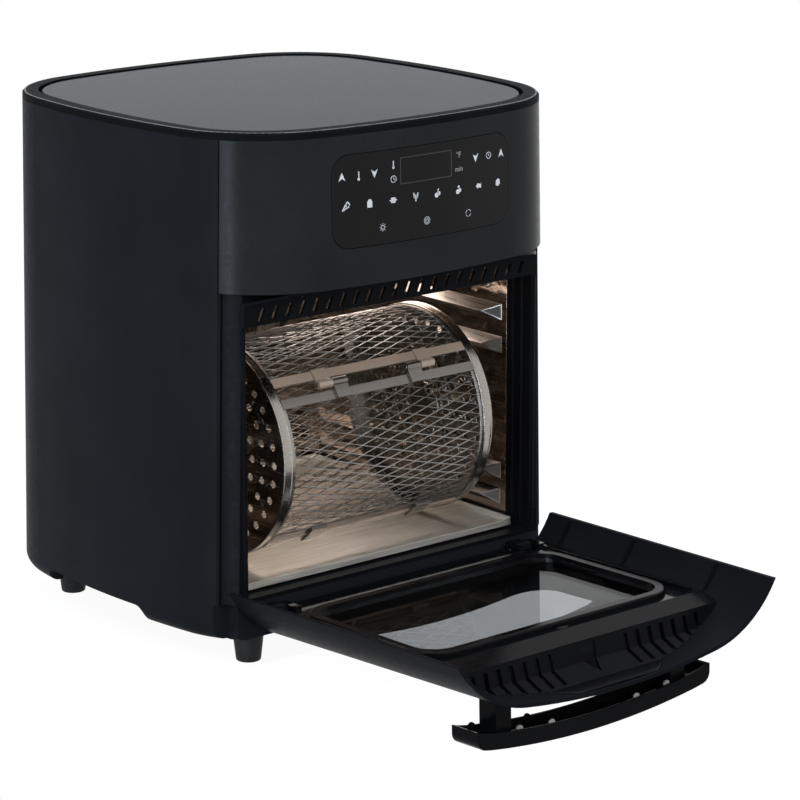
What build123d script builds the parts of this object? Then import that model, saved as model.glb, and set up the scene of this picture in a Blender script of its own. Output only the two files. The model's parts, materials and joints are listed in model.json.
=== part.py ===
from build123d import *
import math
import os

# Countertop rotisserie oven with a drop-down door and a mesh drum.
# Millimetres, +Z up, front towards -Y, origin on the table under the body's centre.

# Body outline: a rounded square with bowed sides that widens towards the table
BODY_HEIGHT = 366.0
HALF_TOP = 155.5
SIDE_RADIUS = 575.0
CORNER_RADIUS = 77.0
DRAFT = 0.0198
COVER_WALL = 2.5
SEAM_Y = -112.0
SEAM_GAP = 0.8

# Heights of the main parting lines
FOOT_HEIGHT = 22.0
BASE_TOP = 47.0
BASE_PLATE_Z = 33.0
BASE_PLATE_T = 3.0
BASE_EDGE_R = 10.0
FASCIA_Z = 260.0
COVER_TOP = 361.0

# Oven mouth and steel liner
MOUTH_HALF = 127.0
MOUTH_Z0 = 50.0
MOUTH_Z1 = 248.0
FRAME_FRONT = -122.0
FRAME_BACK = -97.0
LINER_BACK = 124.0
LINER_ROOF_Z = 250.0
SHEET = 1.0
RAIL_HEIGHTS = (68.0, 87.0, 180.0, 204.0)

# Rotisserie drum: axis along X
DRUM_Y = -45.0
DRUM_Z = 133.0
DRUM_R = 74.0
DRUM_HALF = 93.5
DRUM_BAND = 8.0
MESH_T = 1.0
HINGE_PHI = 40.0
HINGE_R = 76.0
KNUCKLE_R = 3.0
LATCH_PHI = -50.0

# Door: modelled shut, then turned to the open stop about its hinge
DOOR_HINGE_Y = -132.0
DOOR_HINGE_Z = 40.5
DOOR_OPEN = 88.5
DOOR_Z0 = 35.0
DOOR_Z1 = 259.0
DOOR_WALL = 2.5
INNER_Y = -130.0
INNER_T = 3.0
INNER_TOP = 205.0
GASKET_H = 3.5

# Handle on the door
GRIP_HALF = 104.0
GRIP_Z = 222.0
GRIP_HEIGHT = 25.0
GRIP_DEPTH = 11.0
GRIP_STANDOFF = 22.0
GRIP_END_R = 7.5
POST_X = 78.0
RIB_X = (-92.0, -48.0, -24.0, 0.0, 24.0, 48.0, 92.0)

# Hot air unit over the roof
HOT_Y = 14.0
CHAMBER_R = 96.0
CHAMBER_TOP = 291.0

PARTS = {}


def block(x0, x1, y0, y1, z0, z1):
    return Pos((x0 + x1) / 2, (y0 + y1) / 2, (z0 + z1) / 2) * Box(x1 - x0, y1 - y0, z1 - z0)


def rod(axis, x, y, z, radius, length):
    """Round bar centred on a point, along x, y or z."""
    turn = {"x": Rot(0, 90, 0), "y": Rot(90, 0, 0), "z": Rot(0, 0, 0)}[axis]
    return Pos(x, y, z) * turn * Cylinder(radius, length)


# Body outline

SIDE_CENTRE = SIDE_RADIUS - HALF_TOP
CORNER_REACH = SIDE_RADIUS - CORNER_RADIUS
CORNER_AT = (math.sqrt(2 * CORNER_REACH ** 2 - SIDE_CENTRE ** 2) - SIDE_CENTRE) / 2
SIDE_ANGLE = math.degrees(math.atan2(CORNER_AT, CORNER_AT + SIDE_CENTRE))


def plan_face(offset, z):
    """Rounded square of four wide side arcs and four corner arcs, all tangent."""
    edges = []
    for turn in range(4):
        side = CenterArc((0, SIDE_CENTRE), SIDE_RADIUS + offset, -90 - SIDE_ANGLE, 2 * SIDE_ANGLE)
        corner = CenterArc((CORNER_AT, -CORNER_AT), CORNER_RADIUS + offset,
                           SIDE_ANGLE - 90, 90 - 2 * SIDE_ANGLE)
        edges += [side.rotate(Axis.Z, 90 * turn), corner.rotate(Axis.Z, 90 * turn)]
    return Pos(0, 0, z) * make_face(edges)


def spread(z):
    return DRAFT * (BODY_HEIGHT - z)


def body_block(z0, z1, inset=0.0):
    """Solid body between two heights, drawn in by an inset."""
    return loft([plan_face(spread(z0) - inset, z0), plan_face(spread(z1) - inset, z1)], ruled=True)


def body_shell(z0, z1, wall, inset=0.0):
    return body_block(z0, z1, inset) - body_block(z0, z1, inset + wall)


def front_y(x, z, inset=0.0):
    """Y of the body's front face at a place on the wide front arc."""
    radius = SIDE_RADIUS + spread(z) - inset
    return SIDE_CENTRE - math.sqrt(radius ** 2 - x ** 2)


def plan_prism(points, z0, z1):
    return extrude(Pos(0, 0, z0) * make_face(Polyline(*points, close=True)), z1 - z0)


def rounded_window(half_x, z0, z1, radius, y0, y1):
    """Rounded rectangle in the front view, as a bar along Y."""
    sketch = Plane((0, y0, (z0 + z1) / 2), x_dir=(1, 0, 0), z_dir=(0, 1, 0)) * RectangleRounded(
        2 * half_x, z1 - z0, radius)
    return extrude(sketch, y1 - y0)


FAR = 220.0
REAR_CUT = 100.0


# Base and feet

FOOT_AT = {"front": (113.0, -103.0), "rear": (116.0, 100.0)}
FOOT_BOSS_R = 14.0
STANDOFF_AT = (100.0, 80.0)
ARCH_Y = (-48.0, 70.0)


def base_pan():
    """Skirted pan with a raised plate, foot bosses, posts for the liner and arched side skirts."""
    wing_clear_x, wing_clear_y = 136.5, -110.0
    front_cut = block(-FAR, FAR, -FAR, FRAME_FRONT, 0, BASE_TOP)
    corner_cut = block(wing_clear_x, FAR, -FAR, wing_clear_y, 0, BASE_TOP)
    corner_cuts = [corner_cut, corner_cut.mirror(Plane.YZ)]
    outer = body_block(FOOT_HEIGHT, BASE_TOP)
    outer = fillet(outer.faces().sort_by(Axis.Z)[0].edges(), BASE_EDGE_R)
    outer = outer - front_cut - corner_cuts
    wall = 3.0
    keep_front = block(-FAR, FAR, FRAME_FRONT + wall, FAR, 0, FAR)
    keep_sides = block(-wing_clear_x + wall, wing_clear_x - wall, -FAR, FAR, 0, FAR)
    keep_rear = block(-FAR, FAR, wing_clear_y + wall, FAR, 0, FAR)
    keep = keep_front & (keep_sides + keep_rear)
    plate_top = BASE_PLATE_Z + BASE_PLATE_T
    top_pocket = body_block(plate_top, BASE_TOP, wall) & keep
    under_inset = BASE_EDGE_R + wall
    under_pocket = body_block(FOOT_HEIGHT, BASE_PLATE_Z, under_inset) & keep
    pan = outer - top_pocket - under_pocket
    arch = block(-FAR, FAR, ARCH_Y[0], ARCH_Y[1], 0, BASE_PLATE_Z)
    arch = fillet(arch.edges().filter_by(Axis.X).group_by(Axis.Z)[-1], 9.0)
    inside = block(-132, 132, -FAR, FAR, 0, FAR)
    pan = pan - (arch - inside)
    boss_height = BASE_PLATE_Z - FOOT_HEIGHT
    for x, y in FOOT_AT.values():
        for s in (-1, 1):
            pan += rod("z", s * x, y, FOOT_HEIGHT + boss_height / 2, FOOT_BOSS_R, boss_height)
    post_top = MOUTH_Z0 - SHEET
    for sx in (-1, 1):
        for sy in (-1, 1):
            pan += rod("z", sx * STANDOFF_AT[0], sy * STANDOFF_AT[1], (plate_top + post_top) / 2, 6.0,
                       post_top - plate_top)
    return pan


def foot(x, y):
    """Tapered rubber foot under one corner."""
    top_r, bottom_r, edge = 11.0, 8.5, 1.2
    cone = Pos(x, y, FOOT_HEIGHT / 2) * Cone(bottom_r, top_r, FOOT_HEIGHT)
    return fillet(cone.edges().group_by(Axis.Z)[0], edge)


def base_screws():
    """Four pan-head screws under the base, below the liner's posts."""
    heads = []
    for sx in (-1, 1):
        for sy in (-1, 1):
            heads.append(rod("z", sx * STANDOFF_AT[0], sy * STANDOFF_AT[1], BASE_PLATE_Z - 1.2, 4.0, 2.4))
    return heads


PARTS["base_pan"] = base_pan()
for row, (foot_x, foot_y) in FOOT_AT.items():
    PARTS[f"{row}_feet"] = Compound([foot(side * foot_x, foot_y) for side in (-1, 1)])
PARTS["base_screws"] = Compound(base_screws())


# Outer covers

GLAND_AT = (70.0, 74.0)
GLAND_R = 7.0
REAR_SLOTS = 7
REAR_SLOT_PITCH = 11.0


def outer_covers():
    """Two side covers and a rear cover, parted in the rear corners."""
    wrap = body_shell(BASE_TOP, COVER_TOP, COVER_WALL)
    gap = SEAM_GAP / 2
    left = plan_prism([(-FAR, SEAM_Y), (-REAR_CUT, SEAM_Y), (-REAR_CUT, REAR_CUT - gap), (-FAR, FAR - gap)],
                      BASE_TOP, COVER_TOP)
    rear = plan_prism([(-REAR_CUT, REAR_CUT + gap), (REAR_CUT, REAR_CUT + gap), (FAR, FAR + gap),
                       (-FAR, FAR + gap)], BASE_TOP, COVER_TOP)
    left_cover = wrap & left
    rear_cover = wrap & rear
    for s in (-1, 1):
        for i in range(REAR_SLOTS):
            x = s * (22.0 + i * REAR_SLOT_PITCH)
            rear_cover -= rounded_window(2.0, 285.0, 335.0, 1.9, REAR_CUT, FAR).moved(Pos(x, 0, 0))
    rear_cover -= rod("y", GLAND_AT[0], REAR_CUT + 50, GLAND_AT[1], GLAND_R, 100)
    return left_cover, left_cover.mirror(Plane.YZ), rear_cover


def cord_gland():
    """Bushed hole where the supply lead enters; the lead itself isn't part of the model."""
    x, z = GLAND_AT
    skin = -front_y(x, z)
    neck = rod("y", x, skin - 1.5, z, GLAND_R - 0.1, 11.0)
    flange = rod("y", x, skin + 2.8, z, GLAND_R + 2.5, 3.0)
    return neck + flange - rod("y", x, skin, z, 3.6, 40.0)


PARTS["left_side_cover"], PARTS["right_side_cover"], PARTS["rear_cover"] = outer_covers()
PARTS["cord_gland"] = cord_gland()


# Top

TOP_RIM = 11.0
TOP_GROOVE = 2.5
TOP_POCKET_Z = 362.5
TOP_PANEL_Z = 365.2


def top_cover():
    """Lid plate whose raised rim frames the inset panel."""
    plate = body_block(COVER_TOP, BODY_HEIGHT)
    plate = chamfer(plate.faces().sort_by(Axis.Z)[-1].edges(), 1.5)
    return plate - body_block(TOP_POCKET_Z, BODY_HEIGHT + 1, TOP_RIM)


def top_panel():
    panel = body_block(TOP_POCKET_Z, TOP_PANEL_Z, TOP_RIM + TOP_GROOVE)
    return fillet(panel.faces().sort_by(Axis.Z)[-1].edges(), 1.2)


PARTS["top_cover"] = top_cover()
PARTS["top_panel"] = top_panel()


# Control fascia

FASCIA_WALL = 3.0
PANEL_HALF, PANEL_Z0, PANEL_Z1, PANEL_R = 77.0, 286.0, 348.0, 13.0
PANEL_T = 1.6
PANEL_GAP = 0.5
BOARD_Y = -140.0


def front_region(z0, z1):
    return block(-FAR, FAR, -FAR, SEAM_Y - SEAM_GAP, z0, z1)


def control_fascia():
    """Curved front above the door with a shallow pocket for the touch panel."""
    skin = body_shell(FASCIA_Z, COVER_TOP, FASCIA_WALL) & front_region(FASCIA_Z, COVER_TOP)
    pocket = rounded_window(PANEL_HALF + PANEL_GAP, PANEL_Z0 - PANEL_GAP, PANEL_Z1 + PANEL_GAP,
                            PANEL_R + PANEL_GAP, -FAR, 0)
    return skin - (pocket & body_shell(FASCIA_Z, COVER_TOP, PANEL_T))


def control_panel():
    """Touch panel that follows the fascia's curve."""
    outline = rounded_window(PANEL_HALF, PANEL_Z0, PANEL_Z1, PANEL_R, -FAR, 0)
    return outline & body_shell(FASCIA_Z, COVER_TOP, PANEL_T)


def control_board():
    """Board behind the panel, on four spacers."""
    board = block(-70, 70, BOARD_Y, BOARD_Y + 1.6, 289, 345)
    for x in (-62, 62):
        for z in (295, 339):
            reach = BOARD_Y - front_y(x, z, FASCIA_WALL) - 0.8
            board += rod("y", x, BOARD_Y - reach / 2, z, 3.0, reach)
    board += block(-22, 22, BOARD_Y - 5, BOARD_Y, 324, 342)
    return board


PARTS["control_fascia"] = control_fascia()
PARTS["control_panel"] = control_panel()
PARTS["control_board"] = control_board()


# Vent grille under the fascia and the front frame

GRILLE_SLOTS = 21
GRILLE_PITCH = 11.5
GRILLE_LEAN = 24.0
GRILLE_LOW = 237.0
GRILLE_T = 2.0


def vent_grille():
    """Strip that slopes back under the fascia, then drops over the mouth as a louvre of leaning slots."""
    front, bend_z, back = -148.0, MOUTH_Z1 + 3.0, FRAME_FRONT - 0.3
    profile = Polyline((front, FASCIA_Z - 1.0), (front, FASCIA_Z + 1.0), (back, bend_z + GRILLE_T),
                       (back, GRILLE_LOW), (back - GRILLE_T, GRILLE_LOW), (back - GRILLE_T, bend_z), close=True)
    strip = extrude(Plane((-FAR, 0, 0), x_dir=(0, 1, 0), z_dir=(1, 0, 0)) * make_face(profile), 2 * FAR)
    strip = strip & body_block(GRILLE_LOW - 1, FASCIA_Z + 5, FASCIA_WALL + 0.2)
    slot_height = 9.0
    slot_z = (GRILLE_LOW + bend_z) / 2
    slot = Pos(0, back - GRILLE_T / 2, slot_z) * Rot(0, GRILLE_LEAN, 0) * Box(3.2, 3 * GRILLE_T, slot_height)
    for i in range(GRILLE_SLOTS):
        strip -= Pos((i - (GRILLE_SLOTS - 1) / 2) * GRILLE_PITCH, 0, 0) * slot
    return strip


def front_frame():
    """Moulded surround of the mouth: its sides follow the body and leave room for the door's wings."""
    front_part = body_block(BASE_TOP, FASCIA_Z - 1, COVER_WALL + 2.0) & block(
        -FAR, FAR, FRAME_FRONT, SEAM_Y + 2, BASE_TOP, FASCIA_Z)
    rear_part = body_block(BASE_TOP, FASCIA_Z - 1, COVER_WALL + 0.3) & block(
        -FAR, FAR, SEAM_Y + 2, FRAME_BACK, BASE_TOP, FASCIA_Z)
    ring = front_part + rear_part
    return ring - block(-MOUTH_HALF, MOUTH_HALF, -FAR, 0, MOUTH_Z0, MOUTH_Z1)


PARTS["vent_grille"] = vent_grille()
PARTS["front_frame"] = front_frame()


# Steel liner

LINER_X = MOUTH_HALF + SHEET
SPINDLE_HOLE_R = 7.0
GRILLE_R = 92.0


def liner_wall():
    """Left wall with the hole for the drum's drive."""
    wall = block(-LINER_X, -MOUTH_HALF, FRAME_BACK, LINER_BACK + SHEET, MOUTH_Z0, LINER_ROOF_Z)
    return wall - rod("x", -LINER_X, DRUM_Y, DRUM_Z, SPINDLE_HOLE_R, 20)


def rack_rails():
    """Four pressed rails of wedge section, pointed at both ends, on the left wall."""
    rails = []
    root, half, front, back, point = -MOUTH_HALF, 6.0, -92.0, 118.0, 14.0
    tip = root + 8.0
    plan = [(root, front), (tip, front + point), (tip, back - point), (root, back)]
    across = Plane((0, front, 0), x_dir=(1, 0, 0), z_dir=(0, -1, 0))
    for z in RAIL_HEIGHTS:
        section = Polyline((root, z - half), (tip, z), (root, z + half), close=True)
        wedge = extrude(across * make_face(section), front - back)
        rails.append(wedge & plan_prism(plan, z - half, z + half))
    return rails


def liner_back():
    wall = block(-MOUTH_HALF, MOUTH_HALF, LINER_BACK, LINER_BACK + SHEET, MOUTH_Z0, LINER_ROOF_Z)
    for i in range(9):
        wall -= rod("y", (i - 4) * 16.0, LINER_BACK, 226.0, 3.0, 10)
    return wall


def liner_roof():
    """Roof sheet with rings of slots under the fan and heater."""
    roof = block(-LINER_X, LINER_X, FRAME_BACK, LINER_BACK + SHEET, LINER_ROOF_Z, LINER_ROOF_Z + SHEET)
    for radius, count in ((30.0, 6), (58.0, 10), (84.0, 14)):
        slot = Pos(radius, 0, LINER_ROOF_Z) * Box(7.0, 0.36 * 2 * math.pi * radius / count, 10.0)
        for i in range(count):
            roof -= Pos(0, HOT_Y, 0) * Rot(0, 0, 360.0 * i / count) * slot
    return roof


def liner_floor():
    return block(-LINER_X, LINER_X, FRAME_BACK, LINER_BACK + SHEET, MOUTH_Z0 - SHEET, MOUTH_Z0)


LAMP_AT = (70.0, 150.0)
left_wall = liner_wall()
left_rails = rack_rails()
PARTS["liner_left_wall"] = left_wall
PARTS["liner_right_wall"] = block(
    MOUTH_HALF, LINER_X, FRAME_BACK, LINER_BACK + SHEET, MOUTH_Z0, LINER_ROOF_Z) - rod(
    "x", LINER_X, LAMP_AT[0], LAMP_AT[1], 15.0, 20)
PARTS["rack_rails_left"] = Compound(left_rails)
PARTS["rack_rails_right"] = Compound([rail.mirror(Plane.YZ) for rail in left_rails])
PARTS["liner_back_wall"] = liner_back()
PARTS["liner_roof"] = liner_roof()
PARTS["liner_floor"] = liner_floor()


# Lamp on the right wall

def lamp_cover():
    """Domed glass over the lamp, with a flange against the wall."""
    y, z = LAMP_AT
    flange = rod("x", MOUTH_HALF - 1.0, y, z, 19.0, 2.0)
    dome = rod("x", MOUTH_HALF - 4.0, y, z, 13.0, 4.0)
    return fillet((flange + dome).edges().group_by(Axis.X)[0], 1.6)


def lamp_holder():
    y, z = LAMP_AT
    return rod("x", LINER_X + 8.0, y, z, 14.5, 16.0) + rod("x", LINER_X + 1.0, y, z, 20.0, 2.0)


PARTS["lamp_cover"] = lamp_cover()
PARTS["lamp_holder"] = lamp_holder()


# Hot air unit: chamber, heater, fan, motor

HEATER_Z = 264.0
HEATER_TUBE_R = 3.2
SHAFT_R = 4.0
MOTOR_Z0 = 310.0


def heater_chamber():
    """Round inverted pan over the roof's slots."""
    height = CHAMBER_TOP - LINER_ROOF_Z - SHEET
    base_z = LINER_ROOF_Z + SHEET
    pan = rod("z", 0, 0, base_z + height / 2, CHAMBER_R, height) - rod(
        "z", 0, 0, base_z + (height - SHEET) / 2, CHAMBER_R - SHEET, height - SHEET)
    lip = rod("z", 0, 0, base_z + SHEET / 2, CHAMBER_R + 6, SHEET) - rod(
        "z", 0, 0, base_z, CHAMBER_R - SHEET, 10)
    return pan + lip - rod("z", 0, 0, CHAMBER_TOP, SHAFT_R + 2, 10)


def heating_element():
    """Tubular heater wound in two turns that widen by a step each half turn."""
    radius, step = 57.0, 5.0
    arcs = []
    for half_turn in range(4):
        way = 1 if half_turn % 2 == 0 else -1
        start = way * (radius + half_turn * step)
        end = -way * (radius + (half_turn + 1) * step)
        bulge = way * abs(start - end) / 2
        arcs.append(ThreePointArc((start, 0, HEATER_Z), ((start + end) / 2, bulge, HEATER_Z), (end, 0, HEATER_Z)))
    section = Plane((radius, 0, HEATER_Z), x_dir=(1, 0, 0), z_dir=(0, 1, 0)) * Circle(HEATER_TUBE_R)
    return sweep(section, path=Wire(arcs))


def blade_ring(hub_r, tip_r, z0, z1, count, sweep_angle):
    """Set of flat blades set at an angle to the radius."""
    blade = Pos((hub_r + tip_r) / 2, 0, (z0 + z1) / 2) * Rot(0, 0, sweep_angle) * Box(
        tip_r - hub_r, 1.4, z1 - z0)
    return [Rot(0, 0, 360.0 * i / count) * blade for i in range(count)]


def impeller(z0, z1, radius, count):
    """Back plate, hub and blades, bored for the shaft."""
    plate = rod("z", 0, 0, z1 - 0.75, radius, 1.5)
    hub = rod("z", 0, 0, (z0 + z1) / 2, 9.0, z1 - z0)
    wheel = plate + hub
    for blade in blade_ring(8.0, radius - 1.0, z0, z1, count, 18):
        wheel += blade
    return wheel - rod("z", 0, 0, z0, SHAFT_R, 200)


def motor_bracket():
    """Bridge that carries the motor over the chamber."""
    half_x, half_y, top, thick = 118.0, 26.0, MOTOR_Z0, 2.0
    bridge = block(-half_x, half_x, -half_y, half_y, top - thick, top)
    for s in (-1, 1):
        foot_x = s * half_x
        bridge += block(min(foot_x, foot_x - s * thick), max(foot_x, foot_x - s * thick), -half_y, half_y,
                        LINER_ROOF_Z + SHEET, top)
    return bridge - rod("z", 0, 0, top, SHAFT_R + 3, 20)


def fan_motor():
    core = block(-30, 30, -26, 26, MOTOR_Z0 + 8, MOTOR_Z0 + 34)
    core = fillet(core.edges().filter_by(Axis.Z), 6.0)
    bells = rod("z", 0, 0, MOTOR_Z0 + 21, 22, 42)
    return core + bells - rod("z", 0, 0, MOTOR_Z0, SHAFT_R + 0.1, 200)


def thermal_cutout():
    """Round limiter on a strap, on top of the chamber."""
    strap = block(76, 84, -13, 13, CHAMBER_TOP, CHAMBER_TOP + 2)
    return strap + rod("z", 80, 0, CHAMBER_TOP + 3.5, 8, 7)


HOT_AIR = {
    "heater_chamber": heater_chamber(),
    "heating_element": heating_element(),
    "convection_fan": impeller(268.0, 286.0, 44.0, 10),
    "cooling_fan": impeller(295.0, 304.0, 54.0, 12),
    "fan_shaft": rod("z", 0, 0, 309.0, SHAFT_R, 90.0),
    "motor_bracket": motor_bracket(),
    "fan_motor": fan_motor(),
    "thermal_cutout": thermal_cutout(),
}
for name, solid in HOT_AIR.items():
    PARTS[name] = Pos(0, HOT_Y, 0) * solid


# Electrical pieces

def power_board():
    """Upright board behind the chamber, with its relay, transformer and capacitor blocks."""
    front = 119.0
    back = front + 1.6
    board = block(-62, 62, front, back, LINER_ROOF_Z + SHEET, 318)
    for x, width, depth, height in ((-40, 24, 16, 22), (-8, 20, 12, 30), (28, 30, 18, 24)):
        board += block(x - width / 2, x + width / 2, back, back + depth, 262, 262 + height)
    return board


def door_switch():
    return block(46, 70, FRAME_BACK + 1, FRAME_BACK + 8, LINER_ROOF_Z + SHEET, 258)


PARTS["power_board"] = power_board()
PARTS["door_switch"] = door_switch()


# Rotisserie drive and bearing

PIN_END = 119.0
PIN_SQUARE = 8.0


def rotisserie_motor():
    """Flat geared motor against the liner's left wall."""
    can = rod("x", -LINER_X - 9.0, DRUM_Y, DRUM_Z, 25.0, 18.0)
    can = fillet(can.edges().group_by(Axis.X)[0], 2.0)
    tabs = block(-LINER_X - 2, -LINER_X, DRUM_Y - 36, DRUM_Y + 36, DRUM_Z - 6, DRUM_Z + 6)
    return can + tabs - rod("x", -LINER_X - 6, DRUM_Y, DRUM_Z, 5.1, 14.0)


def drive_spindle():
    """Output shaft with a square socket for the drum's pin."""
    socket = rod("x", -118.0, DRUM_Y, DRUM_Z, 9.0, 16.0)
    shaft = rod("x", -132.5, DRUM_Y, DRUM_Z, 5.0, 13.0)
    bore = PIN_SQUARE + 0.6
    return socket + shaft - block(-121, -100, DRUM_Y - bore / 2, DRUM_Y + bore / 2,
                                  DRUM_Z - bore / 2, DRUM_Z + bore / 2)


def drum_bearing():
    """Cup on the right wall for the drum's round pin."""
    cup = rod("x", 119.5, DRUM_Y, DRUM_Z, 9.0, 15.0) + rod("x", 126.0, DRUM_Y, DRUM_Z, 15.0, 2.0)
    return cup - rod("x", 110.0, DRUM_Y, DRUM_Z, 4.25, 24.0)


PARTS["rotisserie_motor"] = rotisserie_motor()
PARTS["drive_spindle"] = drive_spindle()
PARTS["drum_bearing"] = drum_bearing()


# Drip tray

TRAY_HALF, TRAY_FRONT, TRAY_BACK = 124.0, -110.0, 118.0
TRAY_Z, TRAY_LIP = 51.5, 4.5


def drip_tray():
    """Shallow sheet tray with turned-up edges on two low runners."""
    tray = block(-TRAY_HALF, TRAY_HALF, TRAY_FRONT, TRAY_BACK, TRAY_Z, TRAY_Z + TRAY_LIP)
    tray = fillet(tray.edges().filter_by(Axis.Z), 6.0)
    well = block(-TRAY_HALF + SHEET, TRAY_HALF - SHEET, TRAY_FRONT + SHEET, TRAY_BACK - SHEET,
                 TRAY_Z + SHEET, TRAY_Z + 20)
    tray -= fillet(well.edges().filter_by(Axis.Z), 5.0)
    for s in (-1, 1):
        tray += block(s * 98 - 2, s * 98 + 2, -60, 110, MOUTH_Z0 + 0.1, TRAY_Z)
    return tray


PARTS["drip_tray"] = drip_tray()


# Rotisserie drum. Angles run from the front (0) up over the top (90).

MESH_PITCH_X, MESH_PITCH_ROUND = 29.0, 8.6
DIAMOND_X, DIAMOND_ROUND = 25.0, 13.6
FIXED_PANELS = 10
BARRED_PANELS = (3, 7)
LID_PANELS = 4
BAR_HALF_ANGLE = 2.6
BAR_T = 1.2
MESH_HALF = DRUM_HALF - DRUM_BAND


def outward(phi):
    return (0.0, -math.cos(math.radians(phi)), math.sin(math.radians(phi)))


def around(radius, phi):
    """Point in the drum's middle plane at a radius and angle."""
    way = outward(phi)
    return DRUM_Y + radius * way[1], DRUM_Z + radius * way[2]


def sector(r_in, r_out, phi0, phi1, x0, x1):
    """Piece of a ring about the drum's axis."""
    base = Plane((x0, DRUM_Y, DRUM_Z), x_dir=outward(phi1), z_dir=(1, 0, 0))
    return Solid.make_cylinder(r_out, x1 - x0, base, phi1 - phi0) - Solid.make_cylinder(
        r_in, x1 - x0, base, phi1 - phi0)


def mesh_panel(phi0, phi1):
    """Curved panel of expanded metal with plain margins."""
    panel = sector(DRUM_R - MESH_T, DRUM_R, phi0, phi1, -MESH_HALF, MESH_HALF)
    step = math.degrees(MESH_PITCH_ROUND / DRUM_R)
    margin = math.degrees((DIAMOND_ROUND / 2 + 1.0) / DRUM_R)
    rows = int((phi1 - phi0 - 2 * margin) / step) + 1
    first = (phi0 + phi1) / 2 - step * (rows - 1) / 2
    holes = []
    for row in range(rows):
        phi = first + row * step
        count = 6 - row % 2
        y, z = around(DRUM_R, phi)
        for column in range(count):
            x = (column - (count - 1) / 2) * MESH_PITCH_X
            face = Plane((x, y, z), x_dir=(1, 0, 0), z_dir=outward(phi)) * make_face(Polyline(
                (-DIAMOND_X / 2, 0), (0, -DIAMOND_ROUND / 2), (DIAMOND_X / 2, 0), (0, DIAMOND_ROUND / 2),
                close=True))
            holes.append(extrude(face, 4.0, both=True))
    return panel - holes


def mesh_panels(phi0, phi1, count):
    """Panels that butt edge to edge round part of the drum."""
    span = (phi1 - phi0) / count
    return [mesh_panel(phi0 + i * span, phi0 + (i + 1) * span) for i in range(count)]


def bar(phi):
    """Longitudinal strip on the outside of the mesh."""
    return sector(DRUM_R, DRUM_R + BAR_T, phi - BAR_HALF_ANGLE, phi + BAR_HALF_ANGLE, -MESH_HALF, MESH_HALF)


def knuckle(x0, x1, leaf_phi, bore_r):
    """Rolled hinge knuckle with the leaf that ties it to its bar."""
    y, z = around(HINGE_R, HINGE_PHI)
    low, high = sorted((HINGE_PHI, leaf_phi))
    roll = rod("x", (x0 + x1) / 2, y, z, KNUCKLE_R, x1 - x0)
    leaf = sector(DRUM_R + BAR_T, HINGE_R + 1.0, low, high, x0, x1)
    return roll + leaf - rod("x", (x0 + x1) / 2, y, z, bore_r, x1 - x0 + 2)


def drum_end(side, perforated):
    """Pressed end disc with a turned rim."""
    face_x = side * DRUM_HALF
    inner_x = side * (DRUM_HALF - DRUM_BAND)
    centre = (face_x + inner_x) / 2
    rim = rod("x", centre, DRUM_Y, DRUM_Z, DRUM_R + 1.0, DRUM_BAND) - rod(
        "x", centre, DRUM_Y, DRUM_Z, DRUM_R - MESH_T, DRUM_BAND)
    disc = rod("x", face_x - side * SHEET / 2, DRUM_Y, DRUM_Z, DRUM_R, SHEET)
    end = rim + disc
    if perforated:
        for radius, count in ((30.0, 8), (52.0, 14)):
            for i in range(count):
                y, z = around(radius, 360.0 * i / count)
                end -= rod("x", face_x, y, z, 3.5, 10)
    return end


FIXED_FROM = HINGE_PHI + 2 * BAR_HALF_ANGLE - 1.5
FIXED_TO = 360.0 + LATCH_PHI - 2.5
LID_FROM = LATCH_PHI + 0.5
LID_TO = HINGE_PHI - 2 * BAR_HALF_ANGLE + 1.5
KNUCKLE_X = (27.0, 39.0, 39.6, 51.6)


def drum_pieces():
    """Mesh panels, strips with hinge knuckles, end discs, pins."""
    span = (FIXED_TO - FIXED_FROM) / FIXED_PANELS
    panels = mesh_panels(FIXED_FROM, FIXED_TO, FIXED_PANELS)
    hinge_bar = bar(FIXED_FROM + BAR_HALF_ANGLE)
    for s in (-1, 1):
        x0, x1 = sorted((s * KNUCKLE_X[2], s * KNUCKLE_X[3]))
        hinge_bar += knuckle(x0, x1, FIXED_FROM + 2 * BAR_HALF_ANGLE, 1.52)
    bars = [hinge_bar, bar(FIXED_TO - BAR_HALF_ANGLE)]
    bars += [bar(FIXED_FROM + i * span) for i in BARRED_PANELS]
    return panels, bars


def drum_hinge_pins():
    y, z = around(HINGE_R, HINGE_PHI)
    length = KNUCKLE_X[3] - KNUCKLE_X[0] + 1.0
    middle = (KNUCKLE_X[3] + KNUCKLE_X[0]) / 2
    return [rod("x", s * middle, y, z, 1.5, length) for s in (-1, 1)]


def lid_pieces():
    """Mesh panels, two strips with the moving knuckles, and two latch clips."""
    panels = mesh_panels(LID_FROM, LID_TO, LID_PANELS)
    hinge_bar = bar(LID_TO - BAR_HALF_ANGLE)
    for s in (-1, 1):
        x0, x1 = sorted((s * KNUCKLE_X[0], s * KNUCKLE_X[1]))
        hinge_bar += knuckle(x0, x1, LID_TO - 2 * BAR_HALF_ANGLE, 1.6)
    bars = [hinge_bar, bar(LID_FROM + BAR_HALF_ANGLE)]
    clips = []
    seat = DRUM_R + BAR_T
    for s in (-1, 1):
        x0, x1 = sorted((s * 40.0, s * 54.0))
        hook = sector(seat + 0.5, seat + 2.0, LATCH_PHI - 7.0, LID_FROM + 5.0, x0, x1)
        clips.append(hook + sector(seat, seat + 0.5, LID_FROM + 0.5, LID_FROM + 5.0, x0, x1))
    return panels, bars, clips


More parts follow.
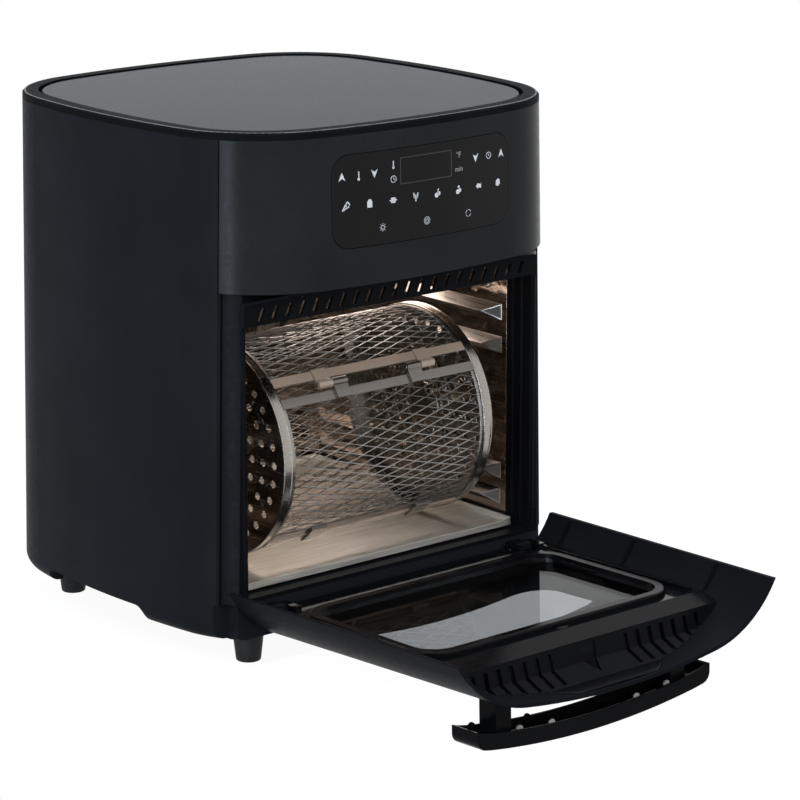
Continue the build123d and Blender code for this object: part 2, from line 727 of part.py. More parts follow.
drum_panels, drum_bars = drum_pieces()
lid_panels, lid_bars, lid_clips = lid_pieces()
PARTS["drum_end_left"] = drum_end(-1, True)
PARTS["drum_end_right"] = drum_end(1, True)
PARTS["drum_mesh"] = Compound(drum_panels)
PARTS["drum_bars"] = Compound(drum_bars)
PARTS["drum_hinge_pins"] = Compound(drum_hinge_pins())
PARTS["drum_drive_pin"] = block(-PIN_END, -DRUM_HALF, DRUM_Y - PIN_SQUARE / 2, DRUM_Y + PIN_SQUARE / 2,
                                DRUM_Z - PIN_SQUARE / 2, DRUM_Z + PIN_SQUARE / 2)
PARTS["drum_idle_pin"] = rod("x", (PIN_END + DRUM_HALF) / 2, DRUM_Y, DRUM_Z, 4.0, PIN_END - DRUM_HALF)
PARTS["lid_mesh"] = Compound(lid_panels)
PARTS["lid_bars"] = Compound(lid_bars)
PARTS["lid_latches"] = Compound(lid_clips)


# Door hinge

LUG_X = (105.0, 117.0)
EAR_X = ((99.0, 104.5), (117.5, 123.0))
HINGE_PIN_R = 2.5
BARREL_R = 5.0


def hinge_brackets():
    """Two lugs on the base's front wall, each with a bored barrel."""
    lugs = []
    for s in (-1, 1):
        x0, x1 = sorted((s * LUG_X[0], s * LUG_X[1]))
        arm = block(x0, x1, DOOR_HINGE_Y, FRAME_FRONT, DOOR_HINGE_Z - 4, DOOR_HINGE_Z + 4)
        barrel = rod("x", (x0 + x1) / 2, DOOR_HINGE_Y, DOOR_HINGE_Z, BARREL_R, x1 - x0)
        lugs.append(arm + barrel - rod("x", (x0 + x1) / 2, DOOR_HINGE_Y, DOOR_HINGE_Z, HINGE_PIN_R + 0.1, 40))
    return lugs


def hinge_pins():
    middle, length = (EAR_X[0][0] + EAR_X[1][1]) / 2, EAR_X[1][1] - EAR_X[0][0]
    return [rod("x", s * middle, DOOR_HINGE_Y, DOOR_HINGE_Z, HINGE_PIN_R, length) for s in (-1, 1)]


PARTS["hinge_brackets"] = Compound(hinge_brackets())


# Door, modelled shut

WINDOW_HALF, WINDOW_Z0, WINDOW_Z1, WINDOW_R = 106.0, 58.0, 134.0, 20.0
PANE_HALF, PANE_Z0, PANE_Z1, PANE_R = 105.0, 68.0, 192.0, 18.0
GLASS_T = 3.0
VENT_SLOTS, VENT_PITCH, VENT_FIRST, VENT_SLOT_W = 7, 11.0, 34.0, 3.6
LEDGE_T = 2.5
DOOR_IN = DOOR_WALL + 0.1


def door_outer_shell():
    """Bowed outer skin with wings that wrap the frame, a floor at its lower end and the window."""
    skin = body_shell(DOOR_Z0, DOOR_Z1, DOOR_WALL) & front_region(DOOR_Z0, DOOR_Z1)
    end = body_block(DOOR_Z0, DOOR_Z0 + DOOR_WALL) & block(-FAR, FAR, -FAR, -140.0, 0, FAR)
    window = rounded_window(WINDOW_HALF, WINDOW_Z0, WINDOW_Z1, WINDOW_R, -FAR, 0)
    return skin + end - window


def door_outer_glass():
    """Bowed pane behind the outer window."""
    pane = rounded_window(WINDOW_HALF + 8, WINDOW_Z0 - 8, WINDOW_Z1 + 4, WINDOW_R, -FAR, 0)
    return pane & body_shell(DOOR_Z0, DOOR_Z1, GLASS_T, DOOR_WALL)


def hinge_ear(x0, x1):
    """Bored ear that carries one end of a hinge pin."""
    ear = block(x0, x1, INNER_Y - INNER_T - 3, INNER_Y + 2.5, DOOR_Z0 + 2, DOOR_HINGE_Z + 12)
    return ear - rod("x", (x0 + x1) / 2, DOOR_HINGE_Y, DOOR_HINGE_Z, HINGE_PIN_R + 0.02, 2 * (x1 - x0))


def door_inner_frame():
    """Flat inner panel with the inner window, side ribs and the ears of the hinge."""
    half = 131.0
    lower = DOOR_Z0 + 2
    plate = block(-half, half, INNER_Y - INNER_T, INNER_Y, lower, INNER_TOP)
    plate = plate & body_block(lower, INNER_TOP, DOOR_IN)
    plate -= rounded_window(PANE_HALF, PANE_Z0, PANE_Z1, PANE_R, -FAR, 0)
    for s in (-1, 1):
        plate += block(s * 119 - 1.5, s * 119 + 1.5, INNER_Y, INNER_Y + 2.5, 56, INNER_TOP - 4)
        x0, x1 = sorted((s * (LUG_X[0] - 0.5), s * (LUG_X[1] + 0.5)))
        plate -= block(x0, x1, -FAR, 0, 0, DOOR_HINGE_Z + 14)
        x0, x1 = sorted((s * (EAR_X[0][0] - 0.5), s * (EAR_X[1][1] + 0.5)))
        plate -= block(x0, x1, -FAR, 0, 0, DOOR_HINGE_Z + 6)
        for ear in EAR_X:
            plate += hinge_ear(*sorted((s * ear[0], s * ear[1])))
    return plate


def door_inner_glass():
    """Flat pane let into the inner panel from behind."""
    return rounded_window(PANE_HALF + 8, PANE_Z0 - 8, PANE_Z1 + 6, PANE_R, INNER_Y - INNER_T - GLASS_T,
                          INNER_Y - INNER_T)


def door_gasket():
    """Low rim round the inner window that meets the mouth."""
    outer = rounded_window(PANE_HALF + 7, PANE_Z0 - 7, PANE_Z1 + 7, PANE_R + 7, INNER_Y, INNER_Y + GASKET_H)
    outer = fillet(outer.edges().group_by(Axis.Y)[-1], 1.5)
    return outer - rounded_window(PANE_HALF, PANE_Z0, PANE_Z1, PANE_R, INNER_Y - 1, INNER_Y + 20)


def door_vent_panel():
    """Stepped top end of the door: a shallow ledge, a steep face, a slope and the lip, with slots over the bend."""
    crest, bend, foot, lip = (-133.0, 224.0), (-146.0, 228.0), (-153.0, 243.0), (-154.0, DOOR_Z1 - 3)
    under = LEDGE_T * 0.8
    outline = Polyline((INNER_Y, INNER_TOP), crest, bend, foot, lip, (lip[0] - LEDGE_T, lip[1]),
                       (foot[0] - LEDGE_T, foot[1]), (bend[0] - under, bend[1] - under),
                       (crest[0] - under, crest[1] - under), (INNER_Y - LEDGE_T, INNER_TOP), close=True)
    bent = extrude(Plane((-FAR, 0, 0), x_dir=(0, 1, 0), z_dir=(1, 0, 0)) * make_face(outline), 2 * FAR)
    panel = bent & body_block(INNER_TOP - 5, DOOR_Z1, DOOR_IN)
    for s in (-1, 1):
        for i in range(VENT_SLOTS):
            x = s * (VENT_FIRST + i * VENT_PITCH)
            panel -= block(x - VENT_SLOT_W / 2, x + VENT_SLOT_W / 2, -FAR, crest[0] - 3.0, crest[1] - 6, foot[1] - 2)
    catch = Polyline((-9, crest[1] - 4), (9, crest[1] - 4), (0, foot[1] - 4), close=True)
    panel -= extrude(Plane((0, crest[0] - 2.0, 0), x_dir=(1, 0, 0), z_dir=(0, -1, 0)) * make_face(catch), FAR)
    return panel


def bowed_bar(offset_out, offset_in, half, z0, z1):
    """Bar that runs parallel to the door's bow, between two offsets in front of it."""
    outer = body_block(z0, z1, -offset_out) - body_block(z0, z1, -offset_in)
    return outer & block(-half, half, -FAR - 40, SEAM_Y, z0, z1)


def round_ends(bar_solid, radius):
    """Rounds the two upright edges at the ends of a bar, on the side away from the door."""
    end = bar_solid.bounding_box().max.X - 0.5
    upright = bar_solid.edges().filter_by(lambda e: abs(e.tangent_at(0.5).Z) > 0.9 and abs(e.center().X) > end)
    return fillet(upright.sort_by(Axis.Y)[:2], radius)


def handle_grip():
    """Bowed channel, open towards the door, with ends that taper towards it and cross ribs."""
    z0, z1 = GRIP_Z - GRIP_HEIGHT / 2, GRIP_Z + GRIP_HEIGHT / 2
    out = GRIP_STANDOFF + GRIP_DEPTH
    wall = 2.2
    bar_solid = round_ends(bowed_bar(out, GRIP_STANDOFF, GRIP_HALF, z0, z1), GRIP_END_R)
    hollow = bowed_bar(out - wall, GRIP_STANDOFF - 1, GRIP_HALF - wall, z0 + wall, z1 - wall)
    grip = bar_solid - round_ends(hollow, GRIP_END_R - wall)
    for x in RIB_X:
        rib = block(x - 0.8, x + 0.8, -FAR - 40, SEAM_Y, z0 + wall, z1 - wall)
        grip += rib & bowed_bar(out - wall, GRIP_STANDOFF + 4, GRIP_HALF, z0 + wall, z1 - wall)
    return grip


def handle_post(side):
    """Post between the door's skin and the bottom of the grip's channel."""
    z0, z1 = GRIP_Z - 8, GRIP_Z + 8
    reach = bowed_bar(GRIP_STANDOFF + GRIP_DEPTH - 2.2, 0.0, GRIP_HALF, z0, z1)
    post = reach & block(side * POST_X - 6.5, side * POST_X + 6.5, -FAR - 40, 0, z0, z1)
    return post


def open_door(shape):
    return shape.rotate(Axis((0, DOOR_HINGE_Y, DOOR_HINGE_Z), (1, 0, 0)), DOOR_OPEN)


DOOR = {
    "door_outer_shell": door_outer_shell(),
    "door_outer_glass": door_outer_glass(),
    "door_inner_frame": door_inner_frame(),
    "door_inner_glass": door_inner_glass(),
    "door_gasket": door_gasket(),
    "door_vent_panel": door_vent_panel(),
    "handle_grip": handle_grip(),
    "handle_posts": Compound([handle_post(side) for side in (-1, 1)]),
    "door_hinge_pins": Compound(hinge_pins()),
}
for name, solid in DOOR.items():
    PARTS[name] = open_door(solid)


os.makedirs("parts", exist_ok=True)
for name, solid in PARTS.items():
    export_step(solid, os.path.join("parts", f"{name}.step"))
print(len(PARTS), "nodes written")
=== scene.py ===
import json
import math

import bmesh
import bpy
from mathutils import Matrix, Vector


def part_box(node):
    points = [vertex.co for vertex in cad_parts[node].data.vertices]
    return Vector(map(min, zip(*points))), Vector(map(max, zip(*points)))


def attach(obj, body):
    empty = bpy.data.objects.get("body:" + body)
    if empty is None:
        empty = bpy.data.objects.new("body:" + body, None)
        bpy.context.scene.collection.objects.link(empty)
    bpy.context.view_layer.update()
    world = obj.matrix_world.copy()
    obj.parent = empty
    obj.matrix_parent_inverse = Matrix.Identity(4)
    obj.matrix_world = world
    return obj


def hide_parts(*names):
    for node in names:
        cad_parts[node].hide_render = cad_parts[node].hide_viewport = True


# Countertop rotisserie oven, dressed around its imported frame. Metres, +Z up, front towards -Y.

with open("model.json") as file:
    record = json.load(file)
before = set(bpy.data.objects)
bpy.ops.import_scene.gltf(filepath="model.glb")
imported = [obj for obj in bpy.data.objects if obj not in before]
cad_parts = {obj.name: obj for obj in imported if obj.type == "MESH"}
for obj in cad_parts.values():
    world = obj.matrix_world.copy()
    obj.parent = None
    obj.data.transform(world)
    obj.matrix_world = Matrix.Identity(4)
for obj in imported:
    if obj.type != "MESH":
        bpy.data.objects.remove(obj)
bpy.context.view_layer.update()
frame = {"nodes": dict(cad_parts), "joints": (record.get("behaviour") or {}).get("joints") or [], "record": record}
nodes = frame["nodes"]
joints = {joint["name"]: joint for joint in frame["joints"]}
MM = 0.001


# Camera at the photograph's viewing angle

CAMERA_AZIMUTH = -40.387
CAMERA_ELEVATION = 14.5286
CAMERA_AT = (-1.3832, -1.7550, 0.7212)
CAMERA_LENS = 145.4
SENSOR_WIDTH = 36.0


def make_camera():
    data = bpy.data.cameras.new("photo_camera")
    data.lens = CAMERA_LENS
    data.sensor_width = SENSOR_WIDTH
    camera = bpy.data.objects.new("photo_camera", data)
    azimuth, elevation = math.radians(CAMERA_AZIMUTH), math.radians(CAMERA_ELEVATION)
    back = Vector((math.sin(azimuth) * math.cos(elevation), -math.cos(azimuth) * math.cos(elevation),
                   math.sin(elevation)))
    camera.location = CAMERA_AT
    camera.rotation_mode = "QUATERNION"
    camera.rotation_quaternion = (-back).to_track_quat("-Z", "Y")
    bpy.context.scene.collection.objects.link(camera)
    bpy.context.scene.camera = camera


# Stage: a white worktop that ends just in front of the feet, a white surround and soft lamps

WORKTOP_FRONT = -0.118
WORKTOP_DEPTH = 2.4
WORKTOP_HALF = 2.0
WORKTOP_THICK = 0.04
WORKTOP_GLOW, WORKTOP_PAINT, WORKTOP_BOUNCE = 0.94, 0.14, 0.7
SURROUND_LIGHT = 0.42
SURROUND_COLOUR = (0.9, 0.95, 1.0, 1.0)
WHITE = (1.0, 1.0, 1.0, 1.0)


def seen_directly(tree):
    """1 for camera, glossy and transmission rays, 0 for the rays that light a surface."""
    path = tree.nodes.new("ShaderNodeLightPath")
    total = path.outputs["Is Camera Ray"]
    for name in ("Is Glossy Ray", "Is Transmission Ray"):
        higher = tree.nodes.new("ShaderNodeMath")
        higher.operation = "MAXIMUM"
        tree.links.new(total, higher.inputs[0])
        tree.links.new(path.outputs[name], higher.inputs[1])
        total = higher.outputs[0]
    return total


def make_world():
    """White to look at and in reflections, with a weaker, cooler light on surfaces."""
    bpy.context.scene.view_settings.view_transform = "Standard"
    world = bpy.data.worlds.new("studio")
    world.use_nodes = True
    tree = world.node_tree
    tree.nodes.clear()
    white = tree.nodes.new("ShaderNodeBackground")
    white.inputs["Color"].default_value = WHITE
    light = tree.nodes.new("ShaderNodeBackground")
    light.inputs["Color"].default_value = SURROUND_COLOUR
    light.inputs["Strength"].default_value = SURROUND_LIGHT
    mix = tree.nodes.new("ShaderNodeMixShader")
    out = tree.nodes.new("ShaderNodeOutputWorld")
    tree.links.new(seen_directly(tree), mix.inputs["Fac"])
    tree.links.new(light.outputs[0], mix.inputs[1])
    tree.links.new(white.outputs[0], mix.inputs[2])
    tree.links.new(mix.outputs[0], out.inputs["Surface"])
    bpy.context.scene.world = world


def worktop_material():
    """White slab that keeps a faint shadow of the oven."""
    material = bpy.data.materials.new("worktop_white")
    material.use_nodes = True
    tree = material.node_tree
    tree.nodes.clear()
    glow = tree.nodes.new("ShaderNodeEmission")
    glow.inputs["Strength"].default_value = WORKTOP_GLOW
    paint = tree.nodes.new("ShaderNodeBsdfDiffuse")
    paint.inputs["Color"].default_value = (WORKTOP_PAINT,) * 3 + (1.0,)
    bounce = tree.nodes.new("ShaderNodeBsdfDiffuse")
    bounce.inputs["Color"].default_value = (WORKTOP_BOUNCE,) * 3 + (1.0,)
    both = tree.nodes.new("ShaderNodeAddShader")
    mix = tree.nodes.new("ShaderNodeMixShader")
    out = tree.nodes.new("ShaderNodeOutputMaterial")
    tree.links.new(glow.outputs[0], both.inputs[0])
    tree.links.new(paint.outputs[0], both.inputs[1])
    tree.links.new(seen_directly(tree), mix.inputs["Fac"])
    tree.links.new(bounce.outputs[0], mix.inputs[1])
    tree.links.new(both.outputs[0], mix.inputs[2])
    tree.links.new(mix.outputs[0], out.inputs["Surface"])
    return material


def make_worktop():
    low = (-WORKTOP_HALF, WORKTOP_FRONT, -WORKTOP_THICK)
    high = (WORKTOP_HALF, WORKTOP_FRONT + WORKTOP_DEPTH, 0.0)
    shape = bmesh.new()
    add_box(shape, low, high)
    mesh = bpy.data.meshes.new("worktop")
    shape.to_mesh(mesh)
    mesh.materials.append(worktop_material())
    slab = bpy.data.objects.new("worktop", mesh)
    bpy.context.scene.collection.objects.link(slab)


def make_lamp(name, place, target, size, power, colour):
    data = bpy.data.lights.new(name, "AREA")
    data.shape = "RECTANGLE"
    data.size, data.size_y = size
    data.energy = power
    data.color = colour
    lamp = bpy.data.objects.new(name, data)
    lamp.location = place
    lamp.rotation_mode = "QUATERNION"
    lamp.rotation_quaternion = (Vector(target) - Vector(place)).to_track_quat("-Z", "Y")
    bpy.context.scene.collection.objects.link(lamp)
    return lamp


def make_lamps():
    """Three softboxes, a strip that draws the highlight on the front corner, and the oven's own lamp."""
    middle = (0.0, -0.05, 0.18)
    front = make_lamp("front_softbox", place=(-0.55, -1.7, 0.75), target=middle, size=(0.9, 0.9),
                      power=16.0, colour=(1.0, 0.97, 0.93))
    front.visible_glossy = False
    make_lamp("left_softbox", place=(-1.9, -0.2, 1.1), target=middle, size=(1.0, 1.4),
              power=14.0, colour=(0.85, 0.93, 1.0))
    make_lamp("top_softbox", place=(0.3, 0.4, 2.0), target=middle, size=(1.4, 1.4),
              power=18.0, colour=(1.0, 1.0, 1.0))
    strip = make_lamp("corner_strip", place=(-1.82, -0.66, 0.05), target=(-0.13, -0.12, 0.3),
                      size=(0.22, 1.2), power=26.0, colour=(0.66, 0.84, 1.0))
    strip.visible_diffuse = False
    oven = make_lamp("oven_lamp", place=(0.075, 0.02, 0.243), target=(0.06, 0.0, 0.0), size=(0.09, 0.09),
                     power=0.25, colour=(1.0, 0.86, 0.77))
    oven.visible_camera = False


# Mesh helpers

def add_box(shape, low, high):
    """Closed box between two corners."""
    corners = [shape.verts.new((x, y, z)) for x in (low[0], high[0]) for y in (low[1], high[1])
               for z in (low[2], high[2])]
    for ids in ((0, 1, 3, 2), (4, 6, 7, 5), (0, 4, 5, 1), (2, 3, 7, 6), (0, 2, 6, 4), (1, 5, 7, 3)):
        shape.faces.new([corners[i] for i in ids])


def add_prism(shape, outline, place, depth):
    """Closed prism over a flat outline; place maps an outline point and a depth to a point in the frame."""
    front = [shape.verts.new(place(u, v, depth)) for u, v in outline]
    back = [shape.verts.new(place(u, v, 0.0)) for u, v in outline]
    shape.faces.new(front)
    shape.faces.new(back[::-1])
    count = len(outline)
    for i in range(count):
        j = (i + 1) % count
        shape.faces.new((front[j], front[i], back[i], back[j]))


def circle(radius, count=20, start=0.0, sweep=360.0, cx=0.0, cy=0.0):
    """Points of a circle, or of an arc with both its ends."""
    full = sweep >= 360.0
    steps = count if full else count - 1
    return [(cx + radius * math.cos(math.radians(start + sweep * i / steps)),
             cy + radius * math.sin(math.radians(start + sweep * i / steps))) for i in range(count)]


def revolve_x(shape, profile, centre_y, centre_z, steps):
    """Closed ring: a closed profile of (x, radius) points turned about an axis along X."""
    rings = []
    for i in range(steps):
        turn = 2 * math.pi * i / steps
        rings.append([shape.verts.new((x, centre_y - r * math.cos(turn), centre_z + r * math.sin(turn)))
                      for x, r in profile])
    count = len(profile)
    for i in range(steps):
        here, there = rings[i], rings[(i + 1) % steps]
        for k in range(count):
            n = (k + 1) % count
            shape.faces.new((here[k], here[n], there[n], there[k]))


def finish_piece(shape, name, body, material, smooth_angle=35.0):
    """Turns a bmesh into a piece of the object that rides on a body."""
    bmesh.ops.recalc_face_normals(shape, faces=shape.faces)
    mesh = bpy.data.meshes.new(name)
    shape.to_mesh(mesh)
    shape.free()
    mesh.materials.append(material)
    for face in mesh.polygons:
        face.use_smooth = True
    mesh.set_sharp_from_angle(angle=math.radians(smooth_angle))
    piece = bpy.data.objects.new(name, mesh)
    bpy.context.scene.collection.objects.link(piece)
    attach(piece, body)
    return piece


# Materials

EDGE_ROUND = 0.5 * MM
NOISE_LOW, NOISE_HIGH = 0.3, 0.7
TONE_SCALE, SHEEN_SCALE, TEXTURE_SCALE = 18.0, 260.0, 1800.0
LINE_SCALE, LINE_DETAIL, RIPPLE_SCALE = 900.0, 4.0, 45.0
COATED_INDEX = 1.14
ALONG_X = (0.03, 1.0, 1.0)
ALONG_Y = (1.0, 0.03, 1.0)


def new_surface(name, colour, roughness, metallic=0.0, specular=0.5):
    material = bpy.data.materials.new(name)
    material.use_nodes = True
    shader = material.node_tree.nodes["Principled BSDF"]
    shader.inputs["Base Color"].default_value = (*colour, 1.0)
    shader.inputs["Roughness"].default_value = roughness
    shader.inputs["Metallic"].default_value = metallic
    shader.inputs["Specular IOR Level"].default_value = specular
    return material


def grain(material, scale, stretch=(1.0, 1.0, 1.0), detail=3.0):
    """Noise in the object's own metres, drawn out along an axis where stretch is small."""
    tree = material.node_tree
    place = tree.nodes.new("ShaderNodeTexCoord")
    mapping = tree.nodes.new("ShaderNodeMapping")
    mapping.inputs["Scale"].default_value = stretch
    noise = tree.nodes.new("ShaderNodeTexNoise")
    noise.inputs["Scale"].default_value = scale
    noise.inputs["Detail"].default_value = detail
    tree.links.new(place.outputs["Object"], mapping.inputs["Vector"])
    tree.links.new(mapping.outputs["Vector"], noise.inputs["Vector"])
    return noise.outputs["Fac"]


def vary_roughness(material, source, low, high):
    tree = material.node_tree
    spread = tree.nodes.new("ShaderNodeMapRange")
    spread.inputs["From Min"].default_value = NOISE_LOW
    spread.inputs["From Max"].default_value = NOISE_HIGH
    spread.inputs["To Min"].default_value = low
    spread.inputs["To Max"].default_value = high
    tree.links.new(source, spread.inputs["Value"])
    tree.links.new(spread.outputs["Result"], tree.nodes["Principled BSDF"].inputs["Roughness"])


def vary_colour(material, source, dark, light):
    tree = material.node_tree
    ramp = tree.nodes.new("ShaderNodeValToRGB")
    ramp.color_ramp.elements[0].position = NOISE_LOW
    ramp.color_ramp.elements[0].color = (*dark, 1.0)
    ramp.color_ramp.elements[1].position = NOISE_HIGH
    ramp.color_ramp.elements[1].color = (*light, 1.0)
    tree.links.new(source, ramp.inputs["Fac"])
    tree.links.new(ramp.outputs["Color"], tree.nodes["Principled BSDF"].inputs["Base Color"])


def raise_surface(material, layers):
    """Rounded edges, then one bump per layer of (source, distance)."""
    tree = material.node_tree
    rounded = tree.nodes.new("ShaderNodeBevel")
    rounded.samples = 4
    rounded.inputs["Radius"].default_value = EDGE_ROUND
    normal = rounded.outputs["Normal"]
    for source, distance in layers:
        bump = tree.nodes.new("ShaderNodeBump")
        bump.inputs["Distance"].default_value = distance
        tree.links.new(source, bump.inputs["Height"])
        tree.links.new(normal, bump.inputs["Normal"])
        normal = bump.outputs["Normal"]
    tree.links.new(normal, tree.nodes["Principled BSDF"].inputs["Normal"])


def moulded(name, colour, roughness, specular, texture):
    """Moulded plastic with a fine spark-eroded texture and a slow change of tone."""
    material = new_surface(name, colour, roughness, specular=specular)
    slow = grain(material, TONE_SCALE)
    vary_colour(material, slow, tuple(0.85 * c for c in colour), tuple(1.15 * c for c in colour))
    vary_roughness(material, grain(material, SHEEN_SCALE), roughness - 0.05, roughness + 0.05)
    raise_surface(material, [(grain(material, TEXTURE_SCALE), texture)])
    return material


def steel(name, colour, roughness, stretch, ripple, line=0.00001):
    """Rolled steel: fine lines along one axis over slow ripples that bend the reflections."""
    material = new_surface(name, colour, roughness, metallic=1.0)
    lines = grain(material, LINE_SCALE, stretch, LINE_DETAIL)
    vary_colour(material, lines, tuple(0.8 * c for c in colour), tuple(min(1.0, 1.1 * c) for c in colour))
    vary_roughness(material, lines, roughness - 0.06, roughness + 0.08)
    raise_surface(material, [(grain(material, RIPPLE_SCALE), ripple), (lines, line)])
    return material


def clear_glass(name, tint):
    """Thin coated pane; its low index keeps the white surround from filling it at a flat angle."""
    material = new_surface(name, tint, roughness=0.0)
    shader = material.node_tree.nodes["Principled BSDF"]
    shader.inputs["Transmission Weight"].default_value = 1.0
    shader.inputs["IOR"].default_value = COATED_INDEX
    return material


def make_materials():
    """One finish for each of the record's slots."""
    return {
        "body_black": moulded("satin_black", (0.0115, 0.0138, 0.0175), 0.45, 0.02, 0.00001),
        "top_gloss": moulded("top_blue_grey", (0.010, 0.0190, 0.030), 0.12, 0.012, 0.000001),
        "panel_gloss": moulded("panel_black", (0.006, 0.006, 0.0065), 0.2, 0.11, 0.000002),
        "frame_gloss": moulded("frame_black", (0.0055, 0.0061, 0.0075), 0.3, 0.016, 0.000002),
        "door_gloss": moulded("door_black", (0.0045, 0.0048, 0.0056), 0.18, 0.026, 0.000001),
        # painted warm light: the liner, tray, drum and end steels are tinted warm brown over steel grey, and the
        # tray is paler than bare steel, for the oven lamp's warm light
        "liner_steel": steel("liner_steel", (0.46, 0.395, 0.34), 0.14, ALONG_Y, 0.0012),
        "tray_steel": steel("tray_steel", (0.95, 0.9, 0.84), 0.46, ALONG_X, 0.00008, 0.00004),
        "drum_steel": steel("drum_steel", (0.3, 0.285, 0.27), 0.3, ALONG_X, 0.0002),
        "end_steel": steel("end_steel", (0.36, 0.33, 0.3), 0.2, ALONG_Y, 0.0003),
        "pin_steel": steel("pin_steel", (0.62, 0.61, 0.6), 0.18, ALONG_X, 0.00005),
        "rubber": moulded("black_rubber", (0.01, 0.01, 0.011), 0.62, 0.2, 0.00003),
        "gasket": moulded("black_silicone", (0.004, 0.004, 0.0048), 0.16, 0.07, 0.000002),
        "clear_glass": clear_glass("clear_glass", (0.58, 0.595, 0.61)),
        "plated_sheet": steel("plated_sheet", (0.6, 0.6, 0.6), 0.3, ALONG_Y, 0.0003),
        "heater_tube": moulded("oxidised_tube", (0.08, 0.07, 0.065), 0.45, 0.4, 0.00002),
        "motor_grey": steel("motor_steel", (0.35, 0.35, 0.36), 0.35, ALONG_Y, 0.0002),
        "fan_alloy": steel("fan_alloy", (0.62, 0.62, 0.63), 0.3, ALONG_Y, 0.0002),
        "circuit_board": moulded("board_green", (0.02, 0.12, 0.05), 0.4, 0.4, 0.00001),
        "inner_plastic": moulded("pale_plastic", (0.7, 0.68, 0.64), 0.45, 0.4, 0.00001),
    }


def dress_nodes(finishes):
    """Gives every carried-over node the finish of its slot, or its own one."""
    own = {
        # painted highlight: the drum bars are steel, given here a pale warm non-metal finish, lighter than the lid
        # bars, for the lamp's warm light on them
        "drum_bars": moulded("drum_bar_painted_highlight", (0.4, 0.31, 0.25), 0.2, 0.9, 0.000002),
        # painted warm light: the lid bar and rail steels are tinted warm brown over steel grey, for the oven
        # lamp's warm light
        "lid_bars": steel("lid_bar_steel", (0.2, 0.18, 0.165), 0.3, ALONG_X, 0.0001),
        "rack_rails_left": steel("rail_steel_left", (0.2, 0.18, 0.165), 0.3, ALONG_Y, 0.0006),
        "rack_rails_right": steel("rail_steel_right", (0.2, 0.18, 0.165), 0.3, ALONG_Y, 0.0006),
        "hinge_brackets": finishes["frame_gloss"],
        "door_outer_shell": moulded("door_shell_black", (0.0075, 0.0086, 0.0106), 0.38, 0.008, 0.000004),
        "door_inner_frame": moulded("inner_panel_black", (0.003, 0.0035, 0.0045), 0.07, 0.2, 0.0000005),
        "control_fascia": moulded("fascia_black", (0.0165, 0.0178, 0.0195), 0.26, 0.036, 0.000004),
        "top_cover": moulded("rim_black", (0.006, 0.0066, 0.0078), 0.5, 0.012, 0.00001),
        "liner_floor": steel("floor_steel", (0.16, 0.15, 0.14), 0.3, ALONG_X, 0.0003),
    }
    for row in frame["record"]["subparts"]:
        node = nodes[row["node"]]
        node.data.materials.clear()
        node.data.materials.append(own.get(row["node"], finishes[row["material_slot"]]))


# Rotisserie drum. Angles run from the front (0) up over the top (90).

DRUM_Y, DRUM_Z = joints["drum_spin"]["pos_m"][1:]
DRUM_R = DRUM_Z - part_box("drum_mesh")[0].z
MESH_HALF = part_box("drum_mesh")[1].x
DRUM_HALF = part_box("drum_end_right")[1].x
FIXED_FROM, FIXED_TO = 43.7, 307.5
LID_FROM, LID_TO = -49.5, 36.3
DIAMOND_X, DIAMOND_ROUND = 24.0 * MM, 6.6 * MM
STRAND_HALF = 0.3 * MM
STRAND_TILT = 0.4 * MM
STRAND_T = 0.5 * MM
MESH_EDGE = 2.5 * MM
NET_DEPTH, NET_GAP_X, NET_GAP_ROUND = 0.5 * MM, 0.4 * MM, 2 * MM
SEAM_IN, SEAM_OUT, SEAM_GAP = 1.0 * MM, 0.2 * MM, 0.3 * MM
SEAM_STEP = 3
NET_WELD = 0.05 * MM


def drum_point(radius, phi, x):
    turn = math.radians(phi)
    return x, DRUM_Y - radius * math.cos(turn), DRUM_Z + radius * math.sin(turn)


def add_arc_strip(shape, phi0, phi1, x0, x1, r_in, r_out, steps):
    """Closed strip on the drum's skin."""
    rings = []
    for i in range(steps + 1):
        phi = phi0 + (phi1 - phi0) * i / steps
        rings.append([shape.verts.new(drum_point(r, phi, x))
                      for x, r in ((x0, r_in), (x1, r_in), (x1, r_out), (x0, r_out))])
    for here, there in zip(rings, rings[1:]):
        for k in range(4):
            n = (k + 1) % 4
            shape.faces.new((here[k], here[n], there[n], there[k]))
    shape.faces.new(rings[0][::-1])
    shape.faces.new(rings[-1])


